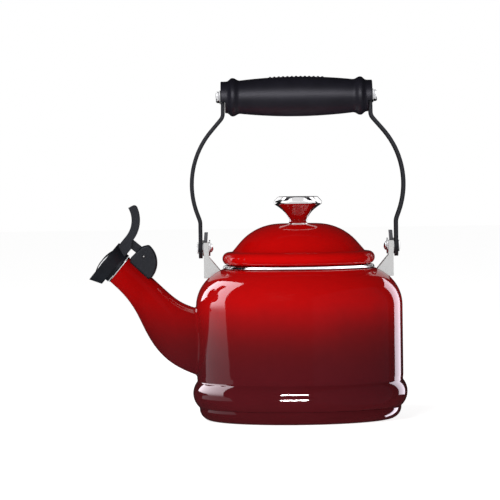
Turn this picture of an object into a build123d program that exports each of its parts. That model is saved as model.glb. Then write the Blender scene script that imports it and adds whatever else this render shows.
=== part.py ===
from build123d import *
import os
from math import cos, radians, sin

# A stovetop whistling kettle in enamelled steel: a drum body with a rolled bead over the base, a lift-off
# lid, a swinging strip bail with a moulded grip, and a flip-up whistle on the spout.
# Millimetres. +Z up, origin at the centre of the flat underside, spout towards -X.

os.makedirs("parts", exist_ok=True)

# ---- driving dimensions ----
sheet = 1.5  # enamelled sheet
wall_r = 65.1  # drum
wall_z0 = 25.5
wall_z1 = 71.5
bead_r = 67.6  # rolled bead above the base
bead_z = 17.2
base_r = 63.6
base_corner = 7.6
base_top = 8.2
base_t = 2.0
shoulder_r, shoulder_z = 59.2, 87.2
neck_r, neck_z = 46.0, 95.2
crown_r, crown_z = 48.2, 94.9
neck_top = 96.6
rim_r, rim_top = 47.9, 97.2  # steel band round the opening
opening_r = 43.6

lid_bead_r = 4.1  # rolled edge of the lid
lid_r = 48.0
lid_bead_z = 101.6
lid_flank_r, lid_flank_z = 36.6, 112.0
lid_top_z = 123.3
dish_r, dish_depth = 11.5, 0.6
lid_sheet = 1.2
ring_r = 43.0  # locating ring under the lid
ring_low = 90.5
ring_t = 0.8

knob_low = lid_top_z - dish_depth
knob_top = 140.3
knob_r = 15.1
knob_neck_r = 6.1
screw_r = 1.95

pivot_z = 108.5  # bail pivot height
strip_t = 2.4  # bail strip
strip_w = 13.0
strip_x = 61.6  # middle of the strip at the pivot
grip_z = 203.2
grip_half = 47.7
grip_seat = 45.0  # face that the strip lies against
grip_mid_r = 12.5
grip_waist_r = 10.5
grip_bead_r = 12.1
grip_end_r = 9.9
strip_top_x = grip_seat + 0.1 + strip_t / 2
# Corners of the bail strip's middle line, from the grip down: x, z and bend radius.
strip_bends = [(strip_top_x + 0.2, 190.7, 6), (73.9, 158.9, 52), (strip_x, 125.0, 8)]

ear_x = 59.6  # outer face of the ear's web
ear_t = 1.0
ear_w = 15.0
rivet_r = 2.5

mouth_tilt = 40.0  # the spout's mouth faces this far above level
mouth_face = (-122.55, 0, 101.15)  # middle of the whistle's front face
cap_r = 14.9
cap_back_r = 12.0
cap_depth = 7.9
spout_lift = 2.1  # the spout's mouth lies this far above the whistle's axis
mouth_s = 11.0  # the spout's enamelled end, measured back from the whistle's front
mouth_r = 9.7
pin_s, pin_t = 17.5, 18.3  # hinge pin
pin_r = 1.0
saddle_w = 14.0
arm_w = 6.8
slot_w = 7.4
lever_w = 12.0
lever_t = 5.0

sides = {"spout_side": -1, "back": 1}

# Sketches on this plane have X along the whistle's axis into the spout, and Y up across the mouth.
into_spout = (cos(radians(mouth_tilt)), 0, -sin(radians(mouth_tilt)))
whistle_plane = Plane(origin=mouth_face, x_dir=into_spout, z_dir=(0, -1, 0))
whistle_axis = Axis(mouth_face, into_spout)


def across_mouth(s, t=0):
    """A plane square to the whistle's axis, s back from its front face and t up."""
    middle = whistle_plane.from_local_coords(Vector(s, t, 0))
    return Plane(origin=middle, x_dir=(0, 1, 0), z_dir=into_spout)


def up_from_spout(s, t):
    """A plane that faces up across the spout, s back from the whistle's front and t up from its axis."""
    middle = whistle_plane.from_local_coords(Vector(s, t, 0))
    return Plane(origin=middle, x_dir=(0, 1, 0), z_dir=whistle_plane.y_dir)


# Spout sections from the mouth to the body: middle (x, z), half height, width over height, slope in degrees.
mouth_middle = whistle_plane.from_local_coords(Vector(mouth_s, spout_lift, 0))
spout_sections = [
    ((mouth_middle.X, mouth_middle.Z), mouth_r, 1.0, mouth_tilt),
    ((-104.7, 88.2), 9.95, 1.0, 43.5),
    ((-93.6, 75.6), 11.6, 0.97, 50.5),
    ((-87.6, 67.7), 13.7, 0.90, 49.5),
    ((-80.0, 59.2), 16.9, 0.80, 38.5),
    ((-71.1, 53.1), 19.4, 0.73, 28.0),
    ((-59.0, 48.7), 21.3, 0.68, 12.0),
]


def section_plane(middle, slope):
    direction = (cos(radians(slope)), 0, -sin(radians(slope)))
    return Plane(origin=(middle[0], 0, middle[1]), x_dir=(0, 1, 0), z_dir=direction)


def loft_spout(skin):
    """The spout as a full solid, its surface moved inwards by skin."""
    with BuildPart() as solid:
        for middle, half, ratio, slope in spout_sections:
            with BuildSketch(section_plane(middle, slope)):
                Ellipse(half * ratio - skin, half - skin)
        loft()
    return solid.part


def body_outline():
    """The body's outer line from the seam over the base to the neck's top edge."""
    bead = ThreePointArc((base_r + 0.2, base_top + 0.1), (bead_r, bead_z), (wall_r - 0.3, wall_z0 - 0.9))
    waist = Line(bead @ 1, (wall_r, wall_z0 + 2.5))
    drum = Line(waist @ 1, (wall_r, wall_z1))
    shoulder = TangentArc(drum @ 1, (shoulder_r, shoulder_z), tangent=(0, 1))
    crown = TangentArc(shoulder @ 1, (crown_r, crown_z), tangent=shoulder % 1)
    step = Line(crown @ 1, (neck_r, neck_z))
    Line(step @ 1, (neck_r, neck_top))


# ---- shapes used to trim others, not written out ----
with BuildPart() as body_envelope:
    with BuildSketch(Plane.XZ):
        with BuildLine():
            body_outline()
            Polyline((neck_r, neck_top), (0, neck_top), (0, base_top + 0.1), (base_r + 0.2, base_top + 0.1))
        make_face()
    revolve(axis=Axis.Z)

spout_outside = loft_spout(0)
spout_channel = loft_spout(sheet)

# ---- body ----
with BuildPart() as body_shell:
    with BuildSketch(Plane.XZ):
        with BuildLine() as shell_line:
            body_outline()
            offset(amount=sheet, side=Side.LEFT)
        make_face()
    revolve(axis=Axis.Z)
    add(spout_channel, mode=Mode.SUBTRACT)
body_shell.part.label = "body_shell"
export_step(body_shell.part, "parts/body_shell.step")

# The base is a flat pan whose upstand fits inside the shell's lower edge; a shallow ring is pressed in it.
upstand_r = 61.7
upstand_top = 12.0
pressed_r0, pressed_r1, pressed_depth = 38.0, 41.0, 0.6
with BuildPart() as base_pan:
    with BuildSketch(Plane.XZ):
        with BuildLine():
            floor_edge = Line((0, 0), (base_r - base_corner, 0))
            corner = TangentArc(floor_edge @ 1, (base_r, base_corner), tangent=(1, 0))
            Polyline(
                corner @ 1,
                (base_r, base_top),
                (upstand_r, base_top),
                (upstand_r, upstand_top),
                (upstand_r - sheet, upstand_top),
                (upstand_r - sheet, base_corner + 0.5),
            )
            inner_corner = TangentArc(
                (upstand_r - sheet, base_corner + 0.5), (base_r - base_corner - 1, base_t), tangent=(0, -1)
            )
            Polyline(inner_corner @ 1, (0, base_t), (0, 0))
        make_face()
    revolve(axis=Axis.Z)
    with BuildSketch(Plane.XY):
        Circle(pressed_r1)
        Circle(pressed_r0, mode=Mode.SUBTRACT)
    extrude(amount=pressed_depth, mode=Mode.SUBTRACT)
base_pan.part.label = "base_pan"
export_step(base_pan.part, "parts/base_pan.step")

# A folded steel band grips the neck's edge and makes the bright rim that the lid sits on.
with BuildPart() as rim_band:
    with BuildSketch(Plane.XZ) as band_sketch:
        with BuildLine():
            Polyline(
                (neck_r + 0.05, neck_z + 0.3),
                (rim_r, neck_z + 0.3),
                (rim_r - 0.7, rim_top),
                (opening_r, rim_top),
                (opening_r, neck_z - 1.5),
                (neck_r - sheet - 0.05, neck_z - 1.5),
                (neck_r - sheet - 0.05, neck_top + 0.05),
                (neck_r + 0.05, neck_top + 0.05),
                close=True,
            )
        make_face()
        fillet(band_sketch.vertices().group_by(Axis.Y)[-1], radius=0.4)
    revolve(axis=Axis.Z)
rim_band.part.label = "rim_band"
export_step(rim_band.part, "parts/rim_band.step")

# ---- spout ----
saddle_screw_s = 24.0
saddle_screw_r = 1.5
saddle_hole_r = saddle_screw_r + 0.05
saddle_head_r, saddle_head_t = 2.8, 1.6
saddle_head_low = 7.0
with BuildPart() as spout:
    add(spout_outside)
    add(spout_channel, mode=Mode.SUBTRACT)
    add(body_envelope.part, mode=Mode.SUBTRACT)
    with BuildSketch(up_from_spout(saddle_screw_s, 0)):
        Circle(saddle_hole_r)
    extrude(amount=14, mode=Mode.SUBTRACT)
spout.part.label = "spout"
export_step(spout.part, "parts/spout.step")

# A steel lip covers the spout's cut edge, with a sleeve inside the mouth.
lip_r = mouth_r + 0.35
lip_t = 0.7
sleeve_r = mouth_r - sheet - 0.4
sleeve_t = 0.6
sleeve_length = 3.5
with BuildPart() as spout_rim:
    with BuildSketch(across_mouth(mouth_s - lip_t, spout_lift)):
        Circle(lip_r)
        Circle(sleeve_r - sleeve_t, mode=Mode.SUBTRACT)
    extrude(amount=lip_t)
    fillet(spout_rim.edges().filter_by(GeomType.CIRCLE).sort_by(SortBy.RADIUS)[-2:], radius=0.3)
    with BuildSketch(across_mouth(mouth_s, spout_lift)):
        Circle(sleeve_r)
        Circle(sleeve_r - sleeve_t, mode=Mode.SUBTRACT)
    extrude(amount=sleeve_length)
spout_rim.part.label = "spout_rim"
export_step(spout_rim.part, "parts/spout_rim.step")

# ---- hinge saddle: two cheeks that straddle the spout and hold the whistle's pin ----
saddle_back_r = 14.7
saddle_s, saddle_low_t = 15.2, 11.0
saddle_back_half = saddle_back_r * cos(radians(45))
saddle_edge_r = 1.2
slot_s, slot_t = pin_s - 5.4, pin_t + 4  # middle of the slot that the arm swings in
slot_length, slot_height = 21.4, 16.2
saddle_nose = (12.7, 22.4)
saddle_top = (saddle_s, saddle_low_t + saddle_back_r)
with BuildPart() as hinge_saddle:
    with BuildSketch(whistle_plane) as cheek_sketch:
        with BuildLine():
            front = Line((13.0, 9.9), (11.6, 12.8))
            nose = Line(front @ 1, saddle_nose)
            top = Line(nose @ 1, saddle_top)
            back = ThreePointArc(
                top @ 1,
                (saddle_s + saddle_back_half, saddle_low_t + saddle_back_half),
                (saddle_s + saddle_back_r, saddle_low_t),
            )
            Polyline(back @ 1, (28.4, 8.8), front @ 0)
        make_face()
        for corner in (saddle_nose, saddle_top):
            fillet(cheek_sketch.vertices().sort_by_distance(corner)[0], radius=2.1)
    extrude(amount=saddle_w / 2, both=True)
    fillet(hinge_saddle.faces().sort_by(Axis.Y)[0].edges(), radius=saddle_edge_r)
    fillet(hinge_saddle.faces().sort_by(Axis.Y)[-1].edges(), radius=saddle_edge_r)
    add(spout_outside, mode=Mode.SUBTRACT)
    with BuildSketch(whistle_plane):
        with Locations((slot_s, slot_t)):
            Rectangle(slot_length, slot_height)
        fillet(vertices(Select.ALL), radius=4)
    extrude(amount=slot_w / 2, both=True, mode=Mode.SUBTRACT)
    with BuildSketch(whistle_plane):
        with Locations((pin_s, pin_t)):
            Circle(pin_r)
    extrude(amount=saddle_w, both=True, mode=Mode.SUBTRACT)
    with BuildSketch(up_from_spout(saddle_screw_s, 0)):
        Circle(saddle_hole_r)
    extrude(amount=17, mode=Mode.SUBTRACT)
hinge_saddle.part.label = "hinge_saddle"
export_step(hinge_saddle.part, "parts/hinge_saddle.step")

with BuildPart() as hinge_pin:
    with BuildSketch(whistle_plane):
        with Locations((pin_s, pin_t)):
            Circle(pin_r)
    extrude(amount=saddle_w / 2, both=True)
hinge_pin.part.label = "hinge_pin"
export_step(hinge_pin.part, "parts/hinge_pin.step")

# The screw comes up from inside the spout into the saddle's back.
with BuildPart() as saddle_screw:
    with BuildSketch(up_from_spout(saddle_screw_s, saddle_head_low)):
        Circle(saddle_head_r)
    extrude(amount=saddle_head_t)
    with BuildSketch(up_from_spout(saddle_screw_s, saddle_head_low + saddle_head_t)):
        Circle(saddle_screw_r)
    extrude(amount=8)
saddle_screw.part.label = "saddle_screw"
export_step(saddle_screw.part, "parts/saddle_screw.step")

# ---- whistle: one moulded cap with its thumb lever and hinge arm, and two steel discs in its bore ----
disc_r = 10.2
cap_bore_r = disc_r + 0.05
cap_bore_depth = 6.0
skirt_r = 10.5
skirt_s = 10.0
nozzle_r = 5.4
passage_r = 4.4
lever_bend_r = 18.3
lever_turn = 69.0
arm_low_t, arm_high_t = 16.9, 22.0
with BuildPart() as whistle_cap:
    with BuildSketch(whistle_plane):
        with BuildLine():
            Polyline((0, 0), (0, cap_r), (cap_depth, cap_back_r), (cap_depth, 0), close=True)
        make_face()
    revolve(axis=whistle_axis)
    with BuildSketch(across_mouth(cap_depth - 1, spout_lift)):
        Circle(skirt_r)
    extrude(amount=skirt_s - cap_depth + 1)
    with BuildSketch(across_mouth(skirt_s - 1, spout_lift)):
        Circle(nozzle_r)
    extrude(amount=2.6)
    with BuildSketch(whistle_plane) as lever_sketch:
        with BuildLine():
            stem = Line((lever_t / 2 + 0.8, 9), (lever_t / 2 + 0.8, 21))
            JernArc(start=stem @ 1, tangent=(0, 1), radius=lever_bend_r, arc_size=lever_turn)
        trace(line_width=lever_t)
        fillet(lever_sketch.vertices().group_by(Axis.Y)[-1], radius=2.2)
    extrude(amount=lever_w / 2, both=True)
    with BuildSketch(whistle_plane):
        with BuildLine():
            Polyline((3, 9), (8.3, 9), (8.3, arm_low_t), (5, arm_high_t), (3, arm_high_t), close=True)
        make_face()
    extrude(amount=lever_w / 2, both=True)
    with BuildSketch(whistle_plane):
        with BuildLine():
            Polyline(
                (4, arm_low_t),
                (pin_s - 1.5, arm_low_t),
                (pin_s + 2, arm_high_t),
                (4, arm_high_t),
                close=True,
            )
        make_face()
        with Locations((pin_s, pin_t)):
            Circle(arm_high_t - pin_t)
    extrude(amount=arm_w / 2, both=True)
    with BuildSketch(across_mouth(0)):
        Circle(cap_bore_r)
    extrude(amount=cap_bore_depth, mode=Mode.SUBTRACT)
    with BuildSketch(across_mouth(cap_bore_depth, spout_lift)):
        Circle(passage_r)
    extrude(amount=8, mode=Mode.SUBTRACT)
    with BuildSketch(whistle_plane):
        with Locations((pin_s, pin_t)):
            Circle(pin_r + 0.05)
    extrude(amount=saddle_w, both=True, mode=Mode.SUBTRACT)
whistle_cap.part.label = "whistle_cap"
export_step(whistle_cap.part, "parts/whistle_cap.step")

disc_sheet = 0.6
dome_rise = 1.75
air_hole_r = 2.2
with BuildPart() as whistle_front_disc:
    with BuildSketch(whistle_plane):
        with BuildLine():
            dome = ThreePointArc((-dome_rise, 0), (-dome_rise * 0.72, 4.9), (0.3, 9.6))
            Polyline(dome @ 1, (0.3, disc_r), (0.3 + disc_sheet, disc_r), (0.3 + disc_sheet, 9.6))
            inside = ThreePointArc(
                (0.3 + disc_sheet, 9.6), (disc_sheet - dome_rise * 0.72, 4.9), (disc_sheet - dome_rise, 0)
            )
            Line(inside @ 1, dome @ 0)
        make_face()
    revolve(axis=whistle_axis)
    with BuildSketch(across_mouth(-4)):
        Circle(air_hole_r)
    extrude(amount=8, mode=Mode.SUBTRACT)
whistle_front_disc.part.label = "whistle_front_disc"
export_step(whistle_front_disc.part, "parts/whistle_front_disc.step")

with BuildPart() as whistle_back_disc:
    with BuildSketch(across_mouth(cap_bore_depth - disc_sheet)):
        Circle(disc_r)
        Circle(air_hole_r, mode=Mode.SUBTRACT)
    extrude(amount=disc_sheet)
whistle_back_disc.part.label = "whistle_back_disc"
export_step(whistle_back_disc.part, "parts/whistle_back_disc.step")

# ---- ears and pivots, one set on each side ----
ear_depth = 3.2
ear_low = 89.7
ear_knee_z = 102.9
ear_foot_x, ear_foot_z = 48.9, 93.9
ear_wing_top = 112.0
tab_top = 118.4
tab_t = 2.2
tab_lean = 0.5
washer_r = 5.0
pivot_washer_t = 0.65
spacer_r = 3.4
spacer_t = ear_depth - ear_t
backing_x = ear_x - ear_depth
backing_t = 0.9
head_x = ear_x + 0.7 + strip_t + 0.35
rivet_head_r, rivet_head_t = 3.65, 1.1
rivet_tail_r, rivet_tail_t = 2.8, 2.0


def round_on_pivot(start, length, outer, inner=0):
    """A round spacer, washer or head on the pivot's axis, from x = start, with its length signed along X."""
    with BuildPart(mode=Mode.PRIVATE) as piece:
        with BuildSketch(Plane.YZ.offset(start)):
            with Locations((0, pivot_z)):
                Circle(outer)
                if inner:
                    Circle(inner, mode=Mode.SUBTRACT)
        extrude(amount=length)
    return piece.part


for side, sign in sides.items():
    # The ear is folded from one sheet: a web with two wings, and on top a tab of two folded layers.
    with BuildPart() as ear:
        with BuildSketch(Plane.XZ) as wing_sketch:
            with BuildLine():
                Polyline(
                    (sign * ear_x, ear_low),
                    (sign * ear_x, ear_wing_top),
                    (sign * (ear_x - ear_depth), ear_wing_top),
                    (sign * (ear_x - ear_depth), ear_knee_z),
                    (sign * ear_foot_x, ear_foot_z),
                    (sign * (ear_foot_x + 3), ear_foot_z - 4.5),
                    (sign * ear_x, ear_low - 3),
                    close=True,
                )
            make_face()
        extrude(amount=ear_w / 2, both=True)
        with BuildSketch(Plane.XZ):
            with BuildLine():
                Polyline(
                    (sign * (ear_x - ear_t), ear_low - 8),
                    (sign * (ear_x - ear_t), ear_wing_top + 1),
                    (sign * (ear_foot_x - 10), ear_wing_top + 1),
                    (sign * (ear_foot_x - 10), ear_low - 8),
                    close=True,
                )
            make_face()
        extrude(amount=ear_w / 2 - ear_t, both=True, mode=Mode.SUBTRACT)
        with BuildSketch(Plane.YZ.offset(sign * (ear_foot_x - 10))):
            with Locations((0, ear_low - 10)):
                Rectangle(ear_w + 2, 20)
        extrude(amount=sign * 30, mode=Mode.SUBTRACT)
        with BuildSketch(Plane.XZ):
            with BuildLine():
                Polyline(
                    (sign * ear_x, ear_wing_top),
                    (sign * (ear_x - tab_lean), tab_top),
                    (sign * (ear_x - tab_lean - tab_t), tab_top),
                    (sign * (ear_x - tab_t), ear_wing_top),
                    close=True,
                )
            make_face()
        extrude(amount=4.5, both=True)
        add(body_envelope.part, mode=Mode.SUBTRACT)
        with BuildSketch(Plane.YZ.offset(sign * (ear_x - 6))):
            with Locations((0, pivot_z)):
                Circle(rivet_r)
        extrude(amount=sign * 10, mode=Mode.SUBTRACT)
    ear.part.label = f"ear_{side}"
    export_step(ear.part, f"parts/ear_{side}.step")

    with BuildPart() as pivot_washer:
        add(round_on_pivot(sign * ear_x, sign * pivot_washer_t, washer_r, rivet_r))
    pivot_washer.part.label = f"pivot_washer_{side}"
    export_step(pivot_washer.part, f"parts/pivot_washer_{side}.step")

    with BuildPart() as pivot_spacer:
        add(round_on_pivot(sign * backing_x, sign * spacer_t, spacer_r, rivet_r))
    pivot_spacer.part.label = f"pivot_spacer_{side}"
    export_step(pivot_spacer.part, f"parts/pivot_spacer_{side}.step")

    with BuildPart() as backing_washer:
        add(round_on_pivot(sign * backing_x, -sign * backing_t, washer_r, rivet_r))
    backing_washer.part.label = f"backing_washer_{side}"
    export_step(backing_washer.part, f"parts/backing_washer_{side}.step")

    with BuildPart() as pivot_rivet:
        add(round_on_pivot(sign * (backing_x - backing_t), sign * (head_x - backing_x + backing_t), rivet_r))
        add(round_on_pivot(sign * head_x, sign * rivet_head_t, rivet_head_r))
        add(round_on_pivot(sign * (backing_x - backing_t), -sign * rivet_tail_t, rivet_tail_r))
    pivot_rivet.part.label = f"pivot_rivet_{side}"
    export_step(pivot_rivet.part, f"parts/pivot_rivet_{side}.step")

# ---- bail ----
grip_plane = Plane(origin=(0, 0, grip_z), x_dir=(1, 0, 0), z_dir=(0, -1, 0))
rod_r = 3.0
for side, sign in sides.items():
    with BuildPart() as bail_arm:
        with BuildSketch(Plane.XZ):
            with BuildLine():
                Polyline(
                    (sign * strip_top_x, grip_z + strip_w / 2),
                    *[(sign * corner_x, corner_z) for corner_x, corner_z, bend in strip_bends],
                    (sign * strip_x, pivot_z - strip_w / 2),
                )
                for corner_x, corner_z, bend in strip_bends:
                    fillet(vertices().sort_by_distance((sign * corner_x, corner_z))[0], radius=bend)
            trace(line_width=strip_t)
        extrude(amount=strip_w / 2, both=True)
        with BuildSketch(Plane.YZ):
            with Locations((0, (grip_z + pivot_z) / 2)):
                SlotCenterToCenter(grip_z - pivot_z, strip_w, rotation=90)
        extrude(amount=sign * 90, mode=Mode.INTERSECT)
        with BuildSketch(Plane.YZ):
            with Locations((0, pivot_z)):
                Circle(rivet_r + 0.05)
            with Locations((0, grip_z)):
                Circle(screw_r + 0.15)
        extrude(amount=sign * 90, mode=Mode.SUBTRACT)
    bail_arm.part.label = f"bail_arm_{side}"
    export_step(bail_arm.part, f"parts/bail_arm_{side}.step")

rib_pitch, rib_count = 2.75, 13
rib_w, rib_length, rib_h = 1.3, 8.0, 0.45
with BuildPart() as grip:
    with BuildSketch(grip_plane):
        with BuildLine():
            barrel = ThreePointArc((-35.5, grip_waist_r), (0, grip_mid_r), (35.5, grip_waist_r))
            for sign in (1, -1):
                bead = Spline(
                    (sign * 35.5, grip_waist_r),
                    (sign * 40.2, grip_bead_r),
                    (sign * 44.0, grip_end_r + 0.2),
                    tangents=[(sign, 0), (sign, -0.3)],
                )
                Polyline(bead @ 1, (sign * grip_half, grip_end_r), (sign * grip_half, 0), (0, 0))
        make_face()
    revolve(axis=Axis((0, 0, grip_z), (1, 0, 0)))
    with BuildSketch(Plane.XY.offset(grip_z)):
        with GridLocations(rib_pitch, 1, rib_count, 1):
            Rectangle(rib_w, rib_length)
    extrude(amount=grip_mid_r + rib_h)
    for sign in (1, -1):
        with BuildSketch(Plane.YZ.offset(sign * grip_seat)):
            with Locations((0, grip_z - 3 - grip_mid_r / 2)):
                Rectangle(3 * grip_mid_r, grip_mid_r)
            with Locations((0, grip_z - 6)):
                SlotCenterToCenter(12, strip_w + 0.5, rotation=90)
        extrude(amount=sign * 5, mode=Mode.SUBTRACT)
    with BuildSketch(Plane.YZ.offset(-grip_half - 1)):
        with Locations((0, grip_z)):
            Circle(rod_r + 0.05)
    extrude(amount=2 * grip_half + 2, mode=Mode.SUBTRACT)
grip.part.label = "grip"
export_step(grip.part, "parts/grip.step")

# A steel rod, tapped at both ends, runs through the grip, and a screw at each end clamps the strip to it.
screw_depth = 12.0
with BuildPart() as grip_rod:
    with BuildSketch(Plane.YZ.offset(-grip_seat)):
        with Locations((0, grip_z)):
            Circle(rod_r)
    extrude(amount=2 * grip_seat)
    for sign in (1, -1):
        with BuildSketch(Plane.YZ.offset(sign * grip_seat)):
            with Locations((0, grip_z)):
                Circle(screw_r + 0.05)
        extrude(amount=-sign * (screw_depth + 2), mode=Mode.SUBTRACT)
grip_rod.part.label = "grip_rod"
export_step(grip_rod.part, "parts/grip_rod.step")

washer_x = grip_half + 0.05
washer_t = 0.7
head_t = 2.4
grip_washer_r, grip_head_r = 4.3, 3.6
cross_length, cross_w, cross_depth = 4.2, 0.9, 1.3
for side, sign in sides.items():
    with BuildPart() as grip_washer:
        with BuildSketch(Plane.YZ.offset(sign * washer_x)):
            with Locations((0, grip_z)):
                Circle(grip_washer_r)
                Circle(screw_r + 0.15, mode=Mode.SUBTRACT)
        extrude(amount=sign * washer_t)
    grip_washer.part.label = f"grip_washer_{side}"
    export_step(grip_washer.part, f"parts/grip_washer_{side}.step")

    with BuildPart() as grip_screw:
        with BuildSketch(Plane.YZ.offset(sign * (washer_x + washer_t))):
            with Locations((0, grip_z)):
                Circle(screw_r)
        extrude(amount=-sign * (screw_depth + 3))
        with BuildSketch(Plane.YZ.offset(sign * (washer_x + washer_t))):
            with Locations((0, grip_z)):
                Circle(grip_head_r)
        extrude(amount=sign * head_t)
        fillet(grip_screw.edges().group_by(Axis.X)[-1 if sign > 0 else 0], radius=1.3)
        with BuildSketch(Plane.YZ.offset(sign * (washer_x + washer_t + head_t))):
            with Locations((0, grip_z)):
                Rectangle(cross_length, cross_w)
                Rectangle(cross_w, cross_length)
        extrude(amount=-sign * cross_depth, mode=Mode.SUBTRACT)
    grip_screw.part.label = f"grip_screw_{side}"
    export_step(grip_screw.part, f"parts/grip_screw_{side}.step")

# ---- lid ----
bead_x = lid_r - lid_bead_r
lid_hole_r = screw_r + 0.25
with BuildPart() as lid_shell:
    with BuildSketch(Plane.XZ):
        with BuildLine():
            dish = Polyline(
                (lid_hole_r, knob_low),
                (dish_r - 4.5, knob_low),
                (dish_r - 1.5, lid_top_z),
                (dish_r, lid_top_z),
            )
            dome = TangentArc(dish @ 1, (lid_flank_r, lid_flank_z), tangent=(1, 0))
            flank = Line(dome @ 1, (41.57, 106.22))
            foot = TangentArc(flank @ 1, (bead_x - 0.79, lid_bead_z + 4.02), tangent=flank % 1)
            curl_end = (bead_x - 1.2, lid_bead_z - lid_bead_r + 0.2)
            curl = ThreePointArc(foot @ 1, (lid_r, lid_bead_z), curl_end)
            offset(amount=lid_sheet, side=Side.RIGHT)
        make_face()
    revolve(axis=Axis.Z)
lid_shell.part.label = "lid_shell"
export_step(lid_shell.part, "parts/lid_shell.step")

ring_neck_r = 38.9
with BuildPart() as lid_locating_ring:
    with BuildSketch(Plane.XZ):
        with BuildLine():
            Polyline(
                (ring_neck_r, 107.0),
                (ring_neck_r, 99.6),
                (ring_r, 96.9),
                (ring_r, ring_low + 0.6),
                (ring_r - 0.9, ring_low),
                (ring_r - 0.9 - ring_t, ring_low + 0.4),
                (ring_r - ring_t, ring_low + 1.2),
                (ring_r - ring_t, 96.4),
                (ring_neck_r - ring_t, 99.1),
                (ring_neck_r - ring_t, 107.0),
                close=True,
            )
        make_face()
    revolve(axis=Axis.Z)
lid_locating_ring.part.label = "lid_locating_ring"
export_step(lid_locating_ring.part, "parts/lid_locating_ring.step")

with BuildPart() as knob:
    with BuildSketch(Plane.XZ):
        with BuildLine():
            Polyline(
                (0, knob_top - 0.5),
                (0, knob_low),
                (knob_neck_r + 0.4, knob_low),
                (knob_neck_r + 0.4, knob_low + 0.6),
            )
            under = Spline(
                (knob_neck_r + 0.4, knob_low + 0.6),
                (knob_neck_r, knob_low + 2.3),
                (7.5, 129.15),
                (11.2, 132.9),
                (14.3, 135.0),
            )
            brim = ThreePointArc(under @ 1, (knob_r + 0.1, 136.5), (knob_r - 0.3, 137.8))
            shoulder = Line(brim @ 1, (12.9, knob_top - 0.3))
            rim = ThreePointArc(shoulder @ 1, (12.3, knob_top), (11.5, knob_top - 0.1))
            Line(rim @ 1, (0, knob_top - 0.5))
        make_face()
    revolve(axis=Axis.Z)
    with BuildSketch(Plane.XY.offset(knob_low)):
        Circle(screw_r + 0.05)
    extrude(amount=11, mode=Mode.SUBTRACT)
knob.part.label = "knob"
export_step(knob.part, "parts/knob.step")

knob_washer_top = knob_low - lid_sheet
knob_washer_r, knob_washer_t = 6.0, 0.8
knob_head_r, knob_head_t = 3.8, 2.2
with BuildPart() as knob_washer:
    with BuildSketch(Plane.XY.offset(knob_washer_top)):
        Circle(knob_washer_r)
        Circle(screw_r + 0.15, mode=Mode.SUBTRACT)
    extrude(amount=-knob_washer_t)
knob_washer.part.label = "knob_washer"
export_step(knob_washer.part, "parts/knob_washer.step")

with BuildPart() as knob_screw:
    with BuildSketch(Plane.XY.offset(knob_washer_top - knob_washer_t)):
        Circle(screw_r)
    extrude(amount=12)
    with BuildSketch(Plane.XY.offset(knob_washer_top - knob_washer_t)):
        Circle(knob_head_r)
    extrude(amount=-knob_head_t)
knob_screw.part.label = "knob_screw"
export_step(knob_screw.part, "parts/knob_screw.step")
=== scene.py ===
import math

import bmesh
import bpy
import numpy as np
from mathutils import Matrix, Vector

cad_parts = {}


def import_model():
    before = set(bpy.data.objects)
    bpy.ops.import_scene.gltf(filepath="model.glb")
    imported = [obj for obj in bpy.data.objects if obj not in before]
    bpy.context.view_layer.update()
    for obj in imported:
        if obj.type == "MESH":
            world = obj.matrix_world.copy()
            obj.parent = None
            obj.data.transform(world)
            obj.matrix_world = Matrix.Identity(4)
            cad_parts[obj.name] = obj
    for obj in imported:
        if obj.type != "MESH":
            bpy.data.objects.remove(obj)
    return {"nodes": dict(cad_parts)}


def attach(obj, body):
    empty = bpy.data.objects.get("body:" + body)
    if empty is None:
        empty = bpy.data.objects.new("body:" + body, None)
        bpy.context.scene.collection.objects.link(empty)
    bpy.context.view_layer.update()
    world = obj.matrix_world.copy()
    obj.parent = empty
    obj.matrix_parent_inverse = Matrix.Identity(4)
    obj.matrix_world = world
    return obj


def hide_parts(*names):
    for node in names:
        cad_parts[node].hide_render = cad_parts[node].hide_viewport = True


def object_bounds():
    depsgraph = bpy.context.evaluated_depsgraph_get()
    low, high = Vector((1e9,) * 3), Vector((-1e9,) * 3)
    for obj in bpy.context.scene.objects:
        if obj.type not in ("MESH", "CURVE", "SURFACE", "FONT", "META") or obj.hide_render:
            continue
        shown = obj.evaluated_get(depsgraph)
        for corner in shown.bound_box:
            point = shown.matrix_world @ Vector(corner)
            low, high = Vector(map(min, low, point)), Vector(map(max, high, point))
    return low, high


# A stovetop whistling kettle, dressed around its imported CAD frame. Profiles and sizes are in millimetres
# unless a comment says metres, meshes are in metres, +Z is up and the spout points to -X.

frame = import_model()
cad_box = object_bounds()
nodes = frame["nodes"]
MM = 0.001
SIDES = {"spout_side": -1, "back": 1}  # the sign of X on each side
SAME_POINT = 1e-4  # points of a line nearer than this are one
AXIS = 1e-6  # a radius under this is a point on the axis
MERGE, MERGE_CAD = 1e-7, 2e-6  # metres: mesh points nearer than this are one


# ---- lines and arcs in a profile's plane, in millimetres ----
def arc_points(centre, start, sweep, step=4.0):
    """Points from start round centre by sweep radians, start and end included."""
    count = max(2, math.ceil(abs(math.degrees(sweep)) / step))
    dx, dy = start[0] - centre[0], start[1] - centre[1]
    points = []
    for i in range(count + 1):
        c, s = math.cos(sweep * i / count), math.sin(sweep * i / count)
        points.append((centre[0] + dx * c - dy * s, centre[1] + dx * s + dy * c))
    return points


def arc_from(start, tangent, end, step=4.0):
    """The arc that leaves start along tangent and stops at end."""
    tx, ty = tangent
    size = math.hypot(tx, ty)
    nx, ny = -ty / size, tx / size
    dx, dy = end[0] - start[0], end[1] - start[1]
    radius = (dx * dx + dy * dy) / (2 * (dx * nx + dy * ny))
    centre = (start[0] + nx * radius, start[1] + ny * radius)
    half = math.atan2(tx * dy - ty * dx, tx * dx + ty * dy)
    return arc_points(centre, start, 2 * half, step)


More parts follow.
